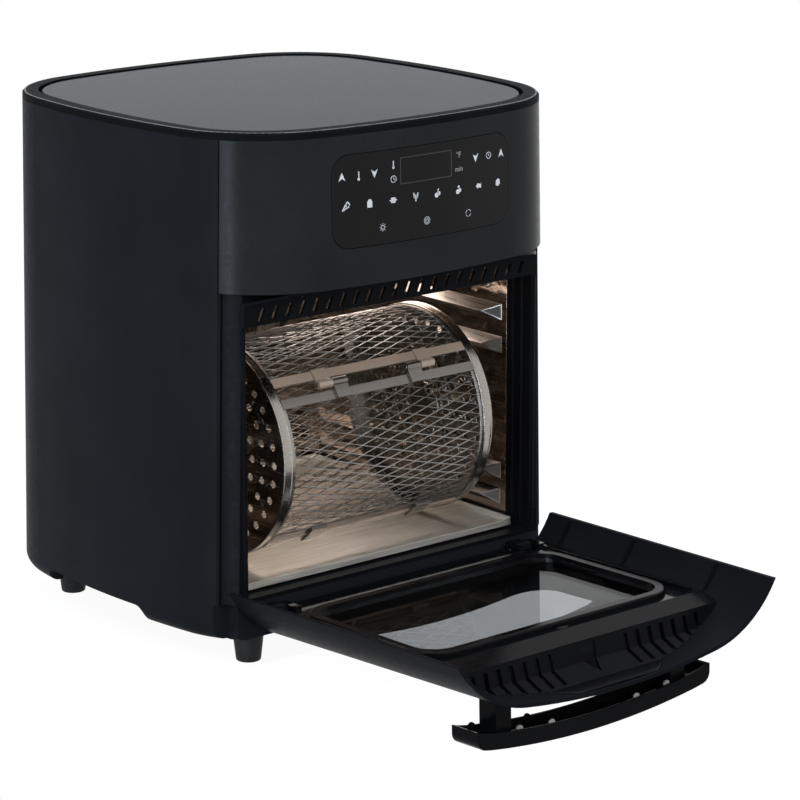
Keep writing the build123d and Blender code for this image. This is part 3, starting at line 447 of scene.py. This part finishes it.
def expanded_mesh(name, body, node, phi0, phi1, finish):
    """Expanded metal sheet: a rhombic net whose strands are tilted as the slitting leaves them."""
    sheet = bmesh.new()
    middle_r = DRUM_R - NET_DEPTH
    half_x = MESH_HALF - NET_GAP_X
    columns = round(2 * half_x / DIAMOND_X)
    a = half_x / columns
    arc = math.radians(phi1 - phi0) * middle_r - NET_GAP_ROUND
    rows = 2 * round(arc / DIAMOND_ROUND)
    b = arc / rows
    keep = 1.0 - STRAND_HALF / (a * b / math.hypot(a, b))
    mid_phi = (phi0 + phi1) / 2

    def corner(x, s, lift):
        return sheet.verts.new(drum_point(middle_r + lift, mid_phi + math.degrees(s / middle_r), x))

    for row in range(1, rows):
        s = (row - rows / 2) * b
        count = columns if row % 2 else columns - 1
        for column in range(count):
            x = (2 * column - count + 1) * a
            ways = ((1, 0), (0, 1), (-1, 0), (0, -1))
            outer = [corner(x + u * a, s + v * b, 0.0) for u, v in ways]
            inner = [corner(x + u * a * keep, s + v * b * keep, v * STRAND_TILT) for u, v in ways]
            for i in range(4):
                j = (i + 1) % 4
                sheet.faces.new((outer[i], outer[j], inner[j], inner[i]))
    bmesh.ops.remove_doubles(sheet, verts=sheet.verts, dist=NET_WELD)
    bmesh.ops.recalc_face_normals(sheet, faces=sheet.faces)
    bmesh.ops.solidify(sheet, geom=sheet.faces, thickness=STRAND_T)
    r_in, r_out = DRUM_R - SEAM_IN, DRUM_R - SEAM_OUT
    turns = max(8, int((phi1 - phi0) / SEAM_STEP))
    for side in (-1, 1):
        x0, x1 = sorted((side * (MESH_HALF - MESH_EDGE), side * (MESH_HALF - SEAM_GAP)))
        add_arc_strip(sheet, phi0, phi1, x0, x1, r_in, r_out, turns)
    edge_angle = math.degrees(MESH_EDGE / DRUM_R)
    inside = MESH_HALF - MESH_EDGE
    for start in (phi0, phi1 - edge_angle):
        add_arc_strip(sheet, start, start + edge_angle, -inside, inside, r_in, r_out, 2)
    piece = finish_piece(sheet, name, body, finish)
    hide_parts(node)


HOLE_RINGS = ((14.0, 6), (26.0, 12), (38.0, 18), (50.0, 24), (62.0, 30))
HOLE_R = 2.7 * MM
HUB_R, HUB_STEPS = 8.0 * MM, 24
RING_HALF = 6.0
CELL_STEPS = 4
DISC_WELD = 0.02 * MM
DISC_INSET, DISC_T, DISC_GAP = 1.0 * MM, 0.9 * MM, 0.8 * MM
RIM_R = DRUM_R + 1.0 * MM
RIM_BEAD, RIM_DIP, RIM_STEPS = 1.2 * MM, 0.5 * MM, 96


def add_holed_disc(shape, x, thickness, outer_r):
    """Round plate pierced by rings of holes: each ring is cut into cells with one hole each."""
    def point(radius, turn):
        return x, DRUM_Y - radius * math.cos(turn), DRUM_Z + radius * math.sin(turn)

    bounds = [HUB_R] + [(radius + RING_HALF) * MM for radius, _ in HOLE_RINGS]
    bounds[-1] = outer_r
    parts = [step / CELL_STEPS for step in range(CELL_STEPS)]
    for k, (radius, count) in enumerate(HOLE_RINGS):
        r0, r1, half = bounds[k], bounds[k + 1], math.pi / count
        for i in range(count):
            centre = 2 * half * i
            hole_y, hole_z = point(radius * MM, centre)[1:]
            edge = [point(r0 + (r1 - r0) * part, centre - half) for part in parts]
            edge += [point(r1, centre - half + 2 * half * part) for part in parts]
            edge += [point(r1 - (r1 - r0) * part, centre + half) for part in parts]
            edge += [point(r0, centre + half - 2 * half * part) for part in parts]
            outer = [shape.verts.new(p) for p in edge]
            inner = []
            for p in edge:
                away = Vector((p[1] - hole_y, p[2] - hole_z)).normalized() * HOLE_R
                inner.append(shape.verts.new((x, hole_y + away.x, hole_z + away.y)))
            for s in range(4 * CELL_STEPS):
                t = (s + 1) % (4 * CELL_STEPS)
                shape.faces.new((outer[s], outer[t], inner[t], inner[s]))
    hub = [shape.verts.new(point(HUB_R, 2 * math.pi * i / HUB_STEPS)) for i in range(HUB_STEPS)]
    shape.faces.new(hub)
    bmesh.ops.remove_doubles(shape, verts=shape.verts, dist=DISC_WELD)
    bmesh.ops.recalc_face_normals(shape, faces=shape.faces)
    bmesh.ops.solidify(shape, geom=shape.faces, thickness=thickness)


def drum_end(name, side, finish):
    """Pierced end disc with a turned band that has a bead along each edge."""
    shape = bmesh.new()
    add_holed_disc(shape, side * (DRUM_HALF - DISC_INSET), DISC_T, DRUM_R - DISC_GAP)
    inner_x, outer_x = side * MESH_HALF, side * DRUM_HALF
    bead = side * RIM_BEAD
    low_r, in_r = RIM_R - RIM_DIP, DRUM_R - 1.0 * MM
    profile = [(inner_x, in_r), (inner_x, RIM_R - 0.2 * MM), (inner_x + 0.3 * bead, RIM_R),
               (inner_x + bead, RIM_R), (inner_x + 1.4 * bead, low_r),
               (outer_x - 1.4 * bead, low_r), (outer_x - bead, RIM_R),
               (outer_x - 0.3 * bead, RIM_R), (outer_x, RIM_R - 0.3 * MM), (outer_x, in_r)]
    revolve_x(shape, profile, DRUM_Y, DRUM_Z, RIM_STEPS)
    piece = finish_piece(shape, name, "drum", finish)
    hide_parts("drum_end_left" if side < 0 else "drum_end_right")


def make_drum(finishes):
    expanded_mesh("drum_net", "drum", "drum_mesh", FIXED_FROM, FIXED_TO, finishes["drum_steel"])
    expanded_mesh("lid_net", "lid", "lid_mesh", LID_FROM, LID_TO, finishes["drum_steel"])
    drum_end("drum_disc_left", -1, finishes["end_steel"])
    drum_end("drum_disc_right", 1, finishes["end_steel"])


# Oven mouth: upright beads on the frame and painted shade in the open ends of the pressed rails

MOUTH_HALF = 127.0
FRAME_FRONT = -122.0
BEAD_LOW, BEAD_HIGH, BEAD_R = 53.0, 235.0, 1.2
SIDE_BEADS = (-104.0, -113.0)
FACE_BEAD_X = 129.6
RAIL_HEIGHTS = (68.0, 87.0, 180.0, 204.0)
RAIL_HALF, RAIL_FRONT, RAIL_REACH, RAIL_POINT = 6.0, -92.0, 8.0, 14.0
HOLLOW_SHADE_SHARE, HOLLOW_SHADE_LIFT, HOLLOW_SHADE_T = 0.84, 0.03, 0.08 * MM


def frame_beads(material):
    """Half-round beads on the sides and the face of the frame."""
    shape = bmesh.new()
    for side in (-1, 1):
        centres = [(side * MOUTH_HALF, y) for y in SIDE_BEADS] + [(side * FACE_BEAD_X, FRAME_FRONT)]
        for cx, cy in centres:
            outline = circle(BEAD_R, 16, cx=cx, cy=cy)
            add_prism(shape, outline, lambda u, v, depth: (u * MM, v * MM, BEAD_LOW * MM + depth),
                      (BEAD_HIGH - BEAD_LOW) * MM)
    finish_piece(shape, "frame_beads", "housing", material, 50.0)


def rail_hollow_shade(material):
    """Painted shade: thin grey sheets on the slanted front ends of the rails, standing in for the shade inside
    their hollow ends.
    """
    shape = bmesh.new()
    for side in (-1, 1):
        away = Vector((-side * RAIL_POINT, -RAIL_REACH, 0.0)).normalized()
        for z in RAIL_HEIGHTS:
            corners = [Vector((side * MOUTH_HALF, RAIL_FRONT, z - RAIL_HALF)),
                       Vector((side * MOUTH_HALF, RAIL_FRONT, z + RAIL_HALF)),
                       Vector((side * (MOUTH_HALF - RAIL_REACH), RAIL_FRONT + RAIL_POINT, z))]
            centre = sum(corners, Vector()) / 3
            shrunk = [centre + (corner - centre) * HOLLOW_SHADE_SHARE for corner in corners]
            add_prism(shape, [(i, 0) for i in range(3)],
                      lambda i, _, depth: (shrunk[i] + away * HOLLOW_SHADE_LIFT) * MM + away * depth, HOLLOW_SHADE_T)
    finish_piece(shape, "rail_hollow_shade", "housing", material)


def make_mouth(finishes):
    frame_beads(finishes["frame_gloss"])
    rail_hollow_shade(moulded("rail_shadow", (0.10, 0.095, 0.09), 0.5, 0.1, 0.000002))


# Chamfer along the outer edge of the top cover, coloured pale grey as a painted highlight of light caught on the
# edge

EDGE_STEPS = 240
EDGE_PROFILE = ((0.0, -1.5), (0.02, -0.7), (-0.6, 0.02), (-1.5, 0.02), (-1.5, -0.2), (-0.4, -1.5))
EDGE_PROBE = 0.6 * MM
PROBE_FROM = 0.4


def make_top_edge():
    cover = nodes["top_cover"]
    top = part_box("top_cover")[1].z
    shape = bmesh.new()
    rings = []
    for i in range(EDGE_STEPS):
        turn = 2 * math.pi * i / EDGE_STEPS
        way = Vector((math.cos(turn), math.sin(turn), 0.0))
        hit, point, _, _ = cover.ray_cast(way * PROBE_FROM + Vector((0.0, 0.0, top - EDGE_PROBE)), -way)
        assert hit, "the cover has no edge here"
        reach = Vector((point.x, point.y)).length
        rings.append([shape.verts.new(way * (reach + r * MM) + Vector((0.0, 0.0, top + z * MM)))
                      for r, z in EDGE_PROFILE])
    count = len(EDGE_PROFILE)
    for here, there in zip(rings, rings[1:] + rings[:1]):
        for k in range(count):
            n = (k + 1) % count
            shape.faces.new((here[k], here[n], there[n], there[k]))
    finish_piece(shape, "top_edge", "housing",
                 moulded("edge_painted_highlight", (0.1, 0.108, 0.118), 0.4, 0.3, 0.000002), 60.0)


# Small fittings of the door, placed in millimetres on the shut door and turned to the open one

HINGE_Y, HINGE_Z = joints["door_hinge"]["pos_m"][1:]
DOOR_OPEN = math.radians(88.5)
PANEL_Y = -130.0
LUG_X = (104.0, 118.0)
NEAR_TABS, FAR_TABS = (-66.0, -38.0, 38.0, 66.0), (-90.0, -42.0, 42.0, 90.0)
NEAR_WALL_Z, FAR_WALL_Z = 232.3, 211.7
TAB_HALF, TAB_T, TAB_RISE, TAB_ROOT = 2.6, 1.2, 2.4, 4.0
TAB_PROBE, TAB_PROBE_END, TAB_INSET, TAB_GAP = -165.0, -200.0, 1.1, 0.05
WING_RIBS = (58.0, 124.0, 206.0)
RIB_RISE, RIB_T, RIB_ROOT = 1.4, 2.4, 0.3
RIB_START, RIB_RUN, RIB_STEPS = PANEL_Y + 1.0, 15.5, 8
RIB_PROBE, RIB_PROBE_END = 90.0, 160.0
POCKET_LOW, POCKET_HIGH, POCKET_Y, POCKET_T = 36.5, 57.0, -139.0, 1.6
RECESS_SHADE_Z, RECESS_SHADE_HALF_X, RECESS_SHADE_HALF_Z, RECESS_SHADE_LIFT, RECESS_SHADE_T = 202.0, 5.0, 1.9, 0.02, 0.1
BORDER_HALF, BORDER_LOW, BORDER_TOP, BORDER_R = 90.0, 78.0, 136.5, 24.0
BORDER_LIFTS = (0.06, 0.16)
BORDER_STEPS, SIDE_STEPS, CORNER_STEPS, HALF_STEPS = 6, 12, 9, 12
BORDER_PROBE, BORDER_PROBE_END = -110.0, -210.0
PANE_END, PANE_LOW, PANE_TOP, PANE_R = 113.0, 51.5, 136.7, 21.0


def on_door(x, y, z):
    """Place on the open door of a point of the shut one."""
    dy, dz = y * MM - HINGE_Y, z * MM - HINGE_Z
    return Vector((x * MM, HINGE_Y + dy * math.cos(DOOR_OPEN) - dz * math.sin(DOOR_OPEN),
                   HINGE_Z + dy * math.sin(DOOR_OPEN) + dz * math.cos(DOOR_OPEN)))


def door_hit(node, start, end):
    """Distance in millimetres from a start on the shut door to the node's surface on the way to the end."""
    origin, towards = on_door(*start), on_door(*end) - on_door(*start)
    hit, point, _, _ = nodes[node].ray_cast(origin, towards.normalized())
    assert hit, "no surface of " + node
    return (point - origin).length / MM


def handle_tabs(grey, black):
    """Half-round snap tabs that stand along both walls of the grip's channel."""
    crown = [(TAB_HALF * math.cos(math.radians(t)), TAB_RISE * math.sin(math.radians(t)))
             for t in range(0, 181, 15)]
    outline = [(-TAB_HALF, -TAB_ROOT), (TAB_HALF, -TAB_ROOT)] + crown
    for name, places, wall_z, way, material in (("handle_tabs_near", NEAR_TABS, NEAR_WALL_Z, -1, grey),
                                                ("handle_tabs_far", FAR_TABS, FAR_WALL_Z, 1, black)):
        shape = bmesh.new()
        probe_z = wall_z - way * TAB_INSET
        for x in places:
            rim = TAB_PROBE - door_hit("handle_grip", (x, TAB_PROBE, probe_z), (x, TAB_PROBE_END, probe_z))

            def place(u, v, depth):
                return on_door(x + u, rim + v, wall_z + way * (TAB_GAP + depth / MM))

            add_prism(shape, outline, place, TAB_T * MM)
        finish_piece(shape, name, "door", material)


def wing_ribs(material):
    """Low upright ribs on the inside of the two wings of the door."""
    shape = bmesh.new()
    for side in (-1, 1):
        for z in WING_RIBS:
            wall = []
            for i in range(RIB_STEPS + 1):
                y = RIB_START + RIB_RUN * i / RIB_STEPS
                reach = door_hit("door_outer_shell", (side * RIB_PROBE, y, z), (side * RIB_PROBE_END, y, z))
                wall.append((side * (RIB_PROBE + reach), y))
            outline = [(x + side * RIB_ROOT, y) for x, y in wall]
            outline += [(x - side * RIB_RISE, y) for x, y in wall[::-1]]
            add_prism(shape, outline, lambda u, v, depth: on_door(u, v, z + depth / MM), RIB_T * MM)
    finish_piece(shape, "wing_ribs", "door", material)


def hinge_pockets(material):
    """Floors of the two pockets in which the hinge lugs sit."""
    shape = bmesh.new()
    for side in (-1, 1):
        x0, x1 = sorted((side * LUG_X[0], side * LUG_X[1]))
        outline = [(x0, POCKET_LOW), (x1, POCKET_LOW), (x1, POCKET_HIGH), (x0, POCKET_HIGH)]
        add_prism(shape, outline, lambda u, v, depth: on_door(u, POCKET_Y + depth / MM, v), POCKET_T * MM)
    finish_piece(shape, "hinge_pockets", "door", material)


def screw_recess_shade(material):
    """Painted shade: a thin dark matte oval laid on the inner panel beyond the window, standing in for the shaded
    hollow of a screw recess.
    """
    shape = bmesh.new()
    outline = [(RECESS_SHADE_HALF_X * u, RECESS_SHADE_Z + RECESS_SHADE_HALF_Z * v) for u, v in circle(1.0, 28)]
    add_prism(shape, outline, lambda u, v, depth: on_door(u, PANEL_Y + RECESS_SHADE_LIFT + depth / MM, v),
              RECESS_SHADE_T * MM)
    finish_piece(shape, "screw_recess_shade", "door", material)


def border_edges():
    """Inner and outer edge of the window's border, point by point from one free end to the other."""
    inner, outer = [], []
    half = SIDE_STEPS / 2
    for i in range(SIDE_STEPS + 1):
        inner.append((BORDER_HALF, BORDER_TOP - (BORDER_TOP - BORDER_LOW - BORDER_R) * i / SIDE_STEPS))
        turn = math.radians(90.0 * max(0.0, 1 - i / half))
        drop = max(0.0, i / half - 1) * (PANE_TOP - PANE_LOW - 2 * PANE_R)
        outer.append((PANE_END - PANE_R + PANE_R * math.cos(turn),
                      PANE_TOP - PANE_R + PANE_R * math.sin(turn) - drop))
    for i in range(1, CORNER_STEPS + 1):
        turn = math.radians(90.0 * i / CORNER_STEPS)
        across, down = 1 - math.cos(turn), 1 - math.sin(turn)
        inner.append((BORDER_HALF - BORDER_R * across, BORDER_LOW + BORDER_R * down))
        outer.append((PANE_END - PANE_R * across, PANE_LOW + PANE_R * down))
    for i in range(1, HALF_STEPS + 1):
        inner.append(((BORDER_HALF - BORDER_R) * (1 - i / HALF_STEPS), BORDER_LOW))
        outer.append(((PANE_END - PANE_R) * (1 - i / HALF_STEPS), PANE_LOW))
    inner += [(-x, z) for x, z in inner[-2::-1]]
    outer += [(-x, z) for x, z in outer[-2::-1]]
    return inner, outer


def window_border(material):
    """Black border printed on the inside of the outer pane, on its hinge side and both ends."""
    shape = bmesh.new()

    def corner(start, end, k, lift):
        x, z = (a + (b - a) * k / BORDER_STEPS for a, b in zip(start, end))
        reach = door_hit("door_outer_glass", (x, BORDER_PROBE, z), (x, BORDER_PROBE_END, z))
        return shape.verts.new(on_door(x, BORDER_PROBE - reach + lift, z))

    inner, outer = border_edges()
    low, high = [[[corner(start, end, k, lift) for k in range(BORDER_STEPS + 1)]
                  for start, end in zip(inner, outer)] for lift in BORDER_LIFTS]
    last = len(inner) - 1
    for i in range(last):
        for k in range(BORDER_STEPS):
            for grid in (low, high):
                shape.faces.new((grid[i][k], grid[i][k + 1], grid[i + 1][k + 1], grid[i + 1][k]))
        for k in (0, BORDER_STEPS):
            shape.faces.new((low[i][k], low[i + 1][k], high[i + 1][k], high[i][k]))
    for i in (0, last):
        for k in range(BORDER_STEPS):
            shape.faces.new((low[i][k], low[i][k + 1], high[i][k + 1], high[i][k]))
    finish_piece(shape, "window_border", "door", material)


def make_door_fittings(finishes):
    grey = moulded("tab_grey", (0.3, 0.3, 0.31), 0.4, 0.4, 0.000002)
    handle_tabs(grey, finishes["door_gloss"])
    wing_ribs(finishes["door_gloss"])
    hinge_pockets(finishes["door_gloss"])
    screw_recess_shade(finishes["rubber"])
    window_border(finishes["rubber"])


# Printed marks on the touch panel, in millimetres on its face

PRINT_T = 0.12 * MM
ARROW = [(0, 3.7), (3.3, -3.3), (0, -1.3), (-3.3, -3.3)]


def long_stroke(x0, y0, x1, y1, width, count=12):
    """Straight bar cut into short lengths, so that it follows the panel's bow."""
    ends = [(x0 + (x1 - x0) * i / count, y0 + (y1 - y0) * i / count) for i in range(count + 1)]
    return [stroke(*here, *there, width) for here, there in zip(ends, ends[1:])]


def stroke(x0, y0, x1, y1, width):
    """Straight bar between two points."""
    length = math.hypot(x1 - x0, y1 - y0)
    nx, ny = -(y1 - y0) / length * width / 2, (x1 - x0) / length * width / 2
    return [(x0 + nx, y0 + ny), (x0 - nx, y0 - ny), (x1 - nx, y1 - ny), (x1 + nx, y1 + ny)]


def arc_band(r_out, r_in, start, sweep, count=12):
    return circle(r_out, count, start, sweep) + circle(r_in, count, start, sweep)[::-1]


def clock():
    return [arc_band(2.9, 2.3, 0, 180), arc_band(2.9, 2.3, 180, 180), stroke(0, -0.2, 0, 1.6, 0.6),
            stroke(-0.2, 0, 1.2, -0.5, 0.6)]


def thermometer(height):
    return [stroke(0, -height / 2, 0, height / 2, 1.0), circle(1.2, 14, cy=-height / 2)]


def pizza():
    return [stroke(-3, -3.4, 1.4, 3.4, 1.0), stroke(-3, -3.4, 3.4, -0.2, 1.0), arc_band(4.4, 3.2, 10, 60),
            circle(0.8, 10, cx=0.6, cy=0.4)]


def loaf():
    return [[(-2.4, -3.2), (2.4, -3.2), (2.4, 1.0), (1.2, 3.4), (-1.2, 3.4), (-2.4, 1.0)]]


def roast():
    return [[(-2.2, -2.2), (2.2, -2.2), (2.2, 2.2), (-2.2, 2.2)], stroke(-3.6, 0, 3.6, 0, 1.2)]


def chips():
    return [stroke(-1.6, -0.6, -2.2, 3.4, 1.1), stroke(1.6, -0.6, 2.2, 3.4, 1.1),
            stroke(0, -3.6, 0, 2.0, 1.3), circle(2.0, 14, cy=0.2)]


def drumstick():
    return [circle(2.1, 16, cx=-1.0, cy=-1.4), circle(1.7, 14, cx=1.4, cy=-0.2),
            stroke(0, -0.6, 1.0, 3.8, 1.1)]


def vegetables():
    return [circle(2.0, 16, cx=-0.8, cy=-1.6), circle(1.7, 14, cx=1.4, cy=-0.6),
            circle(1.1, 12, cx=0.2, cy=2.4)]


def fish():
    return [[(-3.0, 0.2), (-0.6, 2.4), (2.2, 1.2), (3.0, 2.8), (3.0, -2.2), (1.2, -1.2), (-1.2, -2.0)]]


def steak():
    return [[(-2.4, -2.2), (0.4, -3.2), (2.8, -1.2), (2.2, 2.2), (0.2, 3.2), (-2.0, 1.8)]]


def lamp_mark():
    rays = [stroke(2.4 * math.cos(t), 2.4 * math.sin(t), 3.3 * math.cos(t), 3.3 * math.sin(t), 0.5)
            for t in (math.pi * i / 4 for i in range(8))]
    return [arc_band(1.9, 1.3, 0, 180), arc_band(1.9, 1.3, 180, 180)] + rays


def power_mark():
    return [arc_band(3.2, 2.6, 0, 180), arc_band(3.2, 2.6, 180, 180), arc_band(1.9, 1.3, 130, 280),
            stroke(0, 0.3, 0, 2.0, 0.7)]


def turn_mark():
    return [arc_band(3.0, 2.5, 20, 70), arc_band(3.0, 2.5, 110, 70), arc_band(3.0, 2.5, 200, 70),
            arc_band(3.0, 2.5, 290, 60)]


UPPER_Z, DISPLAY_Z, FOOD_Z, LOWER_Z = 333.8, 333.0, 314.2, 297.1
FOOD_STEP = 19.1
MARK_SCALE = 0.84
SMALL_X, SMALL_UPPER_Z, SMALL_LOWER_Z = -28.2, 338.2, 328.2
DEGREES_AT, DEGREES_SIZE = (28.9, 337.7), 5.4
MINUTES_AT, MINUTES_SIZE = (29.3, 328.2), 5.0
DISPLAY_HALF, DISPLAY_HEIGHT, DISPLAY_LINE, DISPLAY_T = 22.3, 17.4, 0.55, 0.06 * MM


def panel_marks():
    """(x, z, outlines) of the white pictograms."""
    up, down = [ARROW], [[(x, -y) for x, y in ARROW[::-1]]]
    marks = [(-69.3, UPPER_Z, up), (-56.2, UPPER_Z, thermometer(6.0)), (-43.7, UPPER_Z, down),
             (SMALL_X, SMALL_UPPER_Z, thermometer(5.4)), (SMALL_X, SMALL_LOWER_Z, clock()),
             (45.0, UPPER_Z, down), (57.8, UPPER_Z, clock()), (70.3, UPPER_Z, up)]
    foods = (pizza(), loaf(), roast(), chips(), drumstick(), vegetables(), fish(), steak())
    first = -(len(foods) - 1) / 2 * FOOD_STEP
    marks += [(first + i * FOOD_STEP, FOOD_Z, food) for i, food in enumerate(foods)]
    marks += [(-37.5, LOWER_Z, lamp_mark()), (0.0, LOWER_Z, power_mark()), (37.8, LOWER_Z, turn_mark())]
    return [(x, z, [[(MARK_SCALE * u, MARK_SCALE * v) for u, v in outline] for outline in mark])
            for x, z, mark in marks]


def on_panel(x, z):
    """Point of the panel's face in front of a place given in millimetres."""
    start, way = Vector((x * MM, -1.0, z * MM)), Vector((0.0, 1.0, 0.0))
    hit, point, _, _ = nodes["control_panel"].ray_cast(start, way)
    assert hit, "a mark lies off the panel"
    return point


def printed(name, groups, material, thickness=PRINT_T):
    """Flat marks laid on the curved panel: groups of (x, z, outlines)."""
    shape = bmesh.new()
    for x, z, outlines in groups:
        for outline in outlines:
            add_prism(shape, outline,
                      lambda u, v, depth: on_panel(x + u, z + v) - Vector((0.0, depth, 0.0)), thickness)
    finish_piece(shape, name, "housing", material)


def unit_text(words, size):
    """Outline mesh of a unit of measure as flat polygons in millimetres."""
    curve = bpy.data.curves.new("unit", "FONT")
    curve.body = words
    curve.size = size
    curve.align_x, curve.align_y = "CENTER", "CENTER"
    holder = bpy.data.objects.new("unit", curve)
    mesh = bpy.data.meshes.new_from_object(holder)
    shapes = [[tuple(mesh.vertices[i].co[:2]) for i in face.vertices] for face in mesh.polygons]
    bpy.data.objects.remove(holder)
    bpy.data.meshes.remove(mesh)
    return shapes


def make_panel():
    white = moulded("print_white", (0.68, 0.72, 0.78), 0.5, 0.3, 0.000002)
    grey = moulded("print_grey", (0.05, 0.05, 0.052), 0.5, 0.3, 0.000002)
    pale = moulded("print_pale", (0.45, 0.47, 0.5), 0.5, 0.3, 0.000002)
    printed("panel_marks", panel_marks(), white)
    units = [(*DEGREES_AT, unit_text("°F", DEGREES_SIZE)), (*MINUTES_AT, unit_text("min", MINUTES_SIZE))]
    printed("panel_units", units, pale)
    w, h, line = DISPLAY_HALF, DISPLAY_HEIGHT / 2, DISPLAY_LINE
    sides = long_stroke(-w, h, w, h, line) + long_stroke(-w, -h, w, -h, line)
    sides += [stroke(-w, -h, -w, h, line), stroke(w, -h, w, h, line)]
    printed("display_frame", [(0.0, DISPLAY_Z, sides)], grey, DISPLAY_T)


# Build

make_camera()
make_world()
make_worktop()
make_lamps()
finishes = make_materials()
dress_nodes(finishes)
make_drum(finishes)
make_mouth(finishes)
make_top_edge()
make_door_fittings(finishes)
make_panel()
